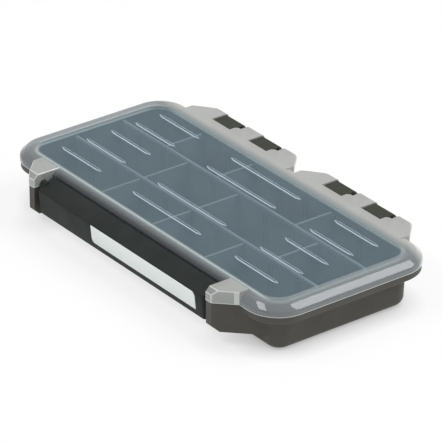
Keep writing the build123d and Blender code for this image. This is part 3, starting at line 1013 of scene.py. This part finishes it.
    def tab(self, side: int) -> Bench:
        """Model one hinge tab with its slanted ends and round back edge.

        Args:
            side: 1 for the right-hand tab, -1 for the left-hand one.

        Returns:
            The bench that holds the tab.
        """
        y, middle = self.half[1], side * self.tab_at
        front = y - self.shoulder_run + self.tab_bury
        bench = self.slab("tab", (middle - self.tab_root, front, self.tab_low),
                          (middle + self.tab_root, self.reach, self.tab_top))
        bench.edit()
        for end in (-1, 1):
            bench.slice((middle + end * self.tab_root, y, 0),
                        (end * (self.reach - y), self.tab_root - self.tab_end, 0))
        bench.pick(Pick.EDGES, lambda edge: rise_of(edge) > UPRIGHT and at(edge.verts[0].co.y, self.reach))
        bench.bevel(self.tab_corner, self.tab_steps)
        bench.pick(Pick.EDGES, lambda edge: rise_of(edge) < MARGIN and all(
            vert.co.y / MM > self.reach - self.tab_round_from for vert in edge.verts))
        bench.bevel(self.tab_round, self.tab_steps)
        bench.done()
        return bench

    def pivot_hole(self, side: int) -> Bench:
        """Model the hole in an ear that the latch turns in, as a cutter."""
        ends = (side * self.ear_inner - self.wall, side * self.ear_inner + self.wall)
        return Bench.rod("pivot_hole", self.pivot_hole_radius, ends, self.pivot, self.pivot_hole_sides)

    def stop(self, x: float) -> Bench:
        """Model the corner of a window that stays filled beside the end of its knuckle.

        Args:
            x: The middle of the window.

        Returns:
            The bench that holds the corner.
        """
        left, back = x + self.window_half - self.stop_width, self.window_front + self.stop_depth
        bench = Bench.cube("stop", (left, self.tab_root, 0), (left + 2 * self.stop_width, back, self.reach))
        bench.edit()
        bench.pick(Pick.EDGES, lambda edge: keeps_to(edge, x=left, y=back))
        bench.bevel(self.stop_chamfer, 1)
        bench.done()
        return bench

    def gaps(self, grown: float = 0.0) -> list:
        """Make the cutters of the latch's bay and of the knuckles' windows.

        Args:
            grown: How much each cutter grows on every side, to keep a wall round it.

        Returns:
            The benches of the cutters.
        """
        far = self.reach + self.cutter_past
        cuts = [Bench.cube("bay", (-self.ear_inner - grown, -far, 0),
                           (self.ear_inner + grown, grown - self.bay_front, far))]
        for x in self.windows:
            window = Bench.cube("window", (x - self.window_half - grown, self.window_front - grown, 0),
                                (x + self.window_half + grown, far, far))
            if not grown:
                window.combine([self.stop(x)], "DIFFERENCE")
            cuts.append(window)
        return cuts

    def shell(self) -> bpy.types.Object:
        """Put the lid together, cut it out and hollow it.

        Returns:
            The finished shell.
        """
        hollow = self.pan(self.wall)
        hollow.combine(self.gaps(self.wall), "DIFFERENCE")
        hollow.combine([self.ear(side, self.wall) for side in (-1, 1)], "UNION")
        bench = self.pan()
        bench.combine([self.ear(-1), self.ear(1), self.tab(-1), self.tab(1)], "UNION")
        bench.combine(self.gaps() + [hollow, self.pivot_hole(-1), self.pivot_hole(1)], "DIFFERENCE")
        bench.piece.name = bench.piece.data.name = "lid_shell"
        bench.smooth(self.smooth_angle)
        bench.modify("WEIGHTED_NORMAL", keep_sharp=True)
        return bench.piece

    def stroke(self, name: str, length: float) -> Bench:
        """Model one raised stroke with pointed ends, with a painted highlight and a painted glow on its
        front side and along its back line.

        Args:
            name: The stroke's name.
            length: Its length over the points.

        Returns:
            The bench that holds the stroke, centred over the panel.
        """
        half, width = length / 2 - self.stroke_point, self.stroke_width / 2
        top = self.crest - self.recess_depth + self.stroke_height
        low = top - self.stroke_height - self.stroke_root
        bench = Bench.cube(name, (-half, -width, low), (half, width, top))
        bench.edit()
        for end in (-1, 1):
            bench.pick(Pick.FACES, lambda face: face.normal.x * end > FACING)
            bench.extrude((end * self.stroke_point, 0, 0))
            bench.stretch((1.0, self.stroke_tip, 1.0))
        bench.pick(Pick.VERTS, lambda vert: at(vert.co.z, top))
        bench.stretch(self.stroke_taper)
        bench.pick(Pick.FACES, lambda face: face.normal.z > FACING)
        bench.inset(self.stroke_line)
        # These faces get the painted highlight: the front side, the ends and the back line of the top.
        bench.pick(Pick.FACES, lambda face: face.normal.y < -self.stroke_front
                   or abs(face.normal.x) > self.stroke_end
                   or face.normal.z > FACING and face.calc_center_median().y > self.stroke_line * MM)
        bench.paint(*self.stroke_plastics)
        return bench

    def strokes(self) -> bpy.types.Object:
        """Set the strokes out over the panel, with its middle left bare.

        Returns:
            All strokes as one piece.
        """
        side = self.stroke("lid_stroke_side", self.side_stroke)
        middle = self.stroke("lid_stroke_middle", self.middle_stroke)
        copies = []
        for row in self.stroke_rows:
            y = row * self.stroke_pitch
            copies += [side.copy_to("stroke", x, y) for x in (-self.side_stroke_at, self.side_stroke_at)]
            if row:
                copies.append(middle.copy_to("stroke", 0.0, y))
        for model in (side, middle):
            bpy.data.objects.remove(model.piece)
        first = copies[0]
        first.join(copies[1:])
        first.piece.name = first.piece.data.name = "lid_strokes"
        return first.piece

    def build(self) -> None:
        """Model the lid's pieces and set them on the lid's body."""
        shell = self.shell()
        for piece in (shell, self.strokes()):
            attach(piece, Body.LID.value)
            log.info("built %s: %d faces", piece.name, len(piece.data.polygons))
        dress("lid", self.plastics[0])
        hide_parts("lid")


@dataclass
class Latch:
    """Bar latch: one bent plate with closed ends, a hook and two trunnions, and its label."""

    half: float = 72.6
    front_top: tuple = (-63.0, 24.0)
    front_low: tuple = (-61.7, 10.5)
    front_band: float = 1.5
    back_top: tuple = (-52.9, 28.6)
    wall: float = 2.0
    ridge: float = 0.6
    end_round: float = 1.8
    end_steps: int = 4
    end_depth: float = 2.6
    edge: float = 0.25
    edge_steps: int = 2
    sharp_angle: float = 35.0
    cutter_past: float = 3.0
    hook_half: float = 60.0
    hook_tip: float = -57.1
    hook_top: float = 17.0
    hook_root: float = 3.4
    hook_nose: float = 0.8
    pivot: tuple = (-57.4, 25.4)
    boss_radius: float = 2.0
    boss_sides: int = 32
    boss_end: float = 74.6
    trunnion_radius: float = 1.2
    trunnion_end: float = 76.4
    trunnion_chamfer: float = 0.2
    label_from: float = -24.0
    label_to: float = 65.6
    label_low: float = 3.4
    label_height: float = 9.8
    label_round: float = 2.6
    label_steps: int = 6
    label_thick: float = 0.3
    label_edge: float = 0.1

    def prism(self, name: str, half: float, section: tuple) -> Bench:
        """Add a block and pull its four long edges to a section.

        Args:
            name: The piece's name.
            half: Half of its length.
            section: The low front, high front, high back and low back points, each (y, z).

        Returns:
            The bench that holds the prism.
        """
        bench = Bench.cube(name, (-half, -1, -1), (half, 1, 1))
        bench.edit()
        for (side_y, side_z), (y, z) in zip(((-1, -1), (-1, 1), (1, 1), (1, -1)), section):
            bench.pick(Pick.VERTS, lambda vert: at(vert.co.y, side_y) and at(vert.co.z, side_z))
            bench.move((0, y - side_y, z - side_z))
        bench.done()
        return bench

    def plate(self) -> Bench:
        """Model the bar with its rolled ridge and round ends, and hollow it from behind.

        Returns:
            The bench that holds the hollow bar.
        """
        (y_top, z_top), (y_low, z_low), (y_back, z_back) = self.front_top, self.front_low, self.back_top
        rise = (z_back - z_top) / (y_back - y_top)
        bench = self.prism("latch_bar", self.half,
                           (self.front_low, self.front_top, self.back_top, (y_low + self.end_depth, z_low)))
        bench.edit()
        bench.pick(Pick.EDGES, lambda edge: rise_of(edge) > UPRIGHT and all(
            abs(vert.co.y / MM - y_top) < self.front_band for vert in edge.verts))
        bench.bevel(self.end_round, self.end_steps)
        bench.pick(Pick.FACES, lambda face: face.normal.z > LEANING)
        rim = set()
        for face in bmesh.from_edit_mesh(bench.piece.data).faces:
            if face.select:
                rim.update(edge.index for edge in face.edges)
        bench.pick(Pick.EDGES, lambda edge: edge.index in rim
                   and any(vert.co.y / MM < y_back - MARGIN for vert in edge.verts))
        bench.bevel(self.ridge, self.edge_steps)
        bench.done()
        y_in = y_top + self.wall
        z_in = z_top + rise * self.wall - self.wall * math.sqrt(1 + rise**2)
        far, deep = y_back + self.cutter_past, z_low - self.cutter_past
        hollow = self.prism("hollow", self.half - self.wall,
                            ((y_low + self.wall, deep), (y_in, z_in),
                             (far, z_in + rise * (far - y_in)), (far, deep)))
        bench.combine([hollow], "DIFFERENCE")
        return bench

    def hook(self) -> Bench:
        """Model the hook that catches under the tray's shelf.

        Returns:
            The bench that holds the hook.
        """
        root = self.front_low[0] + self.wall / 2
        bench = Bench.cube("hook", (-self.hook_half, root, self.hook_top - self.hook_root),
                           (self.hook_half, self.hook_tip, self.hook_top))
        bench.edit()
        bench.pick(Pick.VERTS, lambda vert: at(vert.co.y, self.hook_tip)
                   and at(vert.co.z, self.hook_top - self.hook_root))
        bench.move((0, 0, self.hook_root - self.hook_nose))
        bench.pick(Pick.EDGES, lambda edge: keeps_to(edge, y=self.hook_tip))
        bench.bevel(self.edge, self.edge_steps)
        bench.done()
        return bench

    def boss(self, side: int) -> Bench:
        """Model one boss with the trunnion that turns in the lid's ear.

        Args:
            side: 1 for the right-hand end, -1 for the left-hand one.

        Returns:
            The bench that holds the boss.
        """
        ends = (side * (self.half - self.wall), side * self.boss_end)
        bench = Bench.rod("boss", self.boss_radius, ends, self.pivot, self.boss_sides)
        bench.edit()
        bench.pick(Pick.FACES, lambda face: face.normal.x * side > FACING)
        bench.inset(self.boss_radius - self.trunnion_radius)
        bench.extrude((side * (self.trunnion_end - self.boss_end), 0, 0))
        bench.inset(self.trunnion_chamfer, self.trunnion_chamfer)
        bench.done()
        return bench

    def bar(self) -> bpy.types.Object:
        """Break the plate's edges and join the hook and the bosses to it.

        Returns:
            The finished bar.
        """
        bench = self.plate()
        bench.modify("BEVEL", width=self.edge * MM, segments=self.edge_steps, limit_method="ANGLE",
                     angle_limit=math.radians(self.sharp_angle))
        bench.join([self.hook(), self.boss(-1), self.boss(1)])
        bench.smooth(self.sharp_angle)
        return bench.piece

    def label(self) -> bpy.types.Object:
        """Cut the blank label and lay it on the front of the bar.

        Returns:
            The finished label.
        """
        (y_top, z_top), (y_low, z_low) = self.front_top, self.front_low
        lean = math.atan2(y_low - y_top, z_top - z_low)
        x, y = (self.label_to + self.label_from) / 2 * MM, (self.label_low + self.label_height / 2) * MM
        bpy.ops.object.select_all(action="DESELECT")
        bpy.ops.mesh.primitive_plane_add(size=1.0)
        piece = bpy.context.object
        piece.name = piece.data.name = "label_card"
        piece.scale = ((self.label_to - self.label_from) * MM, self.label_height * MM, 1.0)
        piece.location = (x, y, 0)
        bench = Bench(piece)
        bench.edit()
        bench.pick(Pick.VERTS, lambda vert: (vert.co.x > x) == (vert.co.y > y))
        bench.bevel(self.label_round, self.label_steps, corners=True)
        bpy.ops.mesh.select_all(action="SELECT")
        bench.extrude((0, 0, self.label_thick))
        bench.pick(Pick.EDGES, lambda edge: keeps_to(edge, z=self.label_thick))
        bench.bevel(self.label_edge, self.edge_steps)
        bpy.ops.mesh.select_all(action="SELECT")
        bpy.ops.mesh.normals_make_consistent(inside=False)
        bench.done()
        piece.rotation_euler = (math.pi / 2 + lean, 0, 0)
        piece.location = (0, y_low * MM, z_low * MM)
        Bench(piece).smooth(self.sharp_angle)
        return piece

    def build(self) -> None:
        """Model the latch's pieces, give them their finishes and set them on the latch's body."""
        rows = ((self.bar(), LATCH_FINISH, Slot.LATCH, "latch"),
                (self.label(), LABEL_FINISH, Slot.LABEL, "latch_label"))
        for piece, finish, slot, node in rows:
            material = finish.make()
            piece.data.materials.clear()
            piece.data.materials.append(material)
            dress(node, material)
            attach(piece, Body.LATCH.value)
            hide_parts(node)
            log.info("built %s: %d faces", piece.name, len(piece.data.polygons))


@dataclass(frozen=True)
class Lamp:
    """A soft lamp that faces the box, with its place and size in metres and its power in watts."""

    name: str
    place: tuple
    size: tuple
    power: float

    def hang(self) -> None:
        """Hang the lamp."""
        bpy.ops.object.light_add(type="AREA", location=self.place)
        lamp = bpy.context.object
        lamp.name = self.name
        lamp.data.energy = self.power
        lamp.data.shape = "RECTANGLE"
        lamp.data.size, lamp.data.size_y = self.size
        lamp.rotation_euler = (-Vector(self.place)).to_track_quat("-Z", "Y").to_euler()


@dataclass
class Studio:
    """Pale floor, soft lamps and the camera at the photograph's place."""

    camera_at: tuple = (1.490, -1.116, 1.005)
    looks_at: tuple = (0.0243, -0.0150, 0.0310)
    lens: float = 329.5
    sensor: float = 36.0
    sees_to: float = 50.0
    floor_half: float = 6.0
    floor_z: float = -0.1
    floor_paper: tuple = (0.93, 0.93, 0.93)
    floor_glow: float = 0.84
    # Reach and least glow of the painted contact shadow on the floor
    painted_shadow_reach: float = 0.014
    painted_shadow_glow: float = 0.4
    world_strength: float = 0.5
    lamps: tuple = (Lamp("key_lamp", (0.94, 1.27, 1.80), (1.2, 1.2), 32.0),
                    Lamp("side_lamp", (-0.48, -1.17, 1.80), (1.36, 0.4), 12.5))

    def paper(self) -> Material:
        """Make the floor's paper, which looks white, keeps part of the box's cast shadow and has a painted
        contact shadow under the box.

        Returns:
            The new material.
        """
        sheet = NodeSheet("studio_white")
        paper = sheet.add("BsdfDiffuse")
        paper.inputs["Color"].default_value = (*self.floor_paper, 1.0)
        glow = sheet.add("Emission")
        # Painted shadow: ambient occlusion dims the floor's glow next to the box.
        painted_shadow = sheet.add("AmbientOcclusion")
        painted_shadow.inputs["Distance"].default_value = self.painted_shadow_reach
        light = sheet.spread(painted_shadow.outputs["AO"], 0.0, 1.0, self.painted_shadow_glow, 1.0)
        sheet.link(light, glow.inputs["Strength"])
        seen = sheet.add("LightPath")
        looks = sheet.sum("MAXIMUM", seen.outputs["Is Camera Ray"], seen.outputs["Is Glossy Ray"])
        looks = sheet.sum("MAXIMUM", looks, seen.outputs["Is Transmission Ray"])
        mix = sheet.add("MixShader")
        sheet.link(sheet.sum("MULTIPLY", looks, self.floor_glow), mix.inputs[0])
        sheet.link(paper.outputs[0], mix.inputs[1])
        sheet.link(glow.outputs[0], mix.inputs[2])
        return sheet.finish(mix.outputs[0])

    def floor(self) -> None:
        """Lay the pale floor under the box."""
        bpy.ops.mesh.primitive_plane_add(size=2 * self.floor_half, location=(0, 0, self.floor_z * MM))
        floor = bpy.context.object
        floor.name = "studio_floor"
        floor.data.materials.append(self.paper())

    def world(self) -> None:
        """Fill the room with plain white light."""
        world = bpy.data.worlds.new("studio_world")
        world.use_nodes = True
        light = world.node_tree.nodes["Background"]
        light.inputs["Color"].default_value = (1.0, 1.0, 1.0, 1.0)
        light.inputs["Strength"].default_value = self.world_strength
        bpy.context.scene.world = world

    def camera(self) -> None:
        """Stand the camera at the photograph's place."""
        bpy.ops.object.camera_add(location=self.camera_at)
        camera = bpy.context.object
        camera.data.lens = self.lens
        camera.data.sensor_width = self.sensor
        camera.data.clip_end = self.sees_to
        aim = Vector(self.looks_at) - Vector(self.camera_at)
        camera.rotation_euler = aim.to_track_quat("-Z", "Y").to_euler()
        bpy.context.scene.camera = camera
        bpy.context.scene.view_settings.view_transform = "Standard"

    def build(self) -> None:
        """Set up the whole studio."""
        self.floor()
        for lamp in self.lamps:
            lamp.hang()
        self.world()
        self.camera()


def main() -> None:
    """Build the scene piece by piece."""
    logging.basicConfig(level=logging.INFO, format="%(name)s: %(message)s")
    bpy.ops.object.select_all(action="DESELECT")
    for part in (Tray(), Lid(), Latch(), Studio()):
        part.build()


if __name__ == "__main__":
    main()
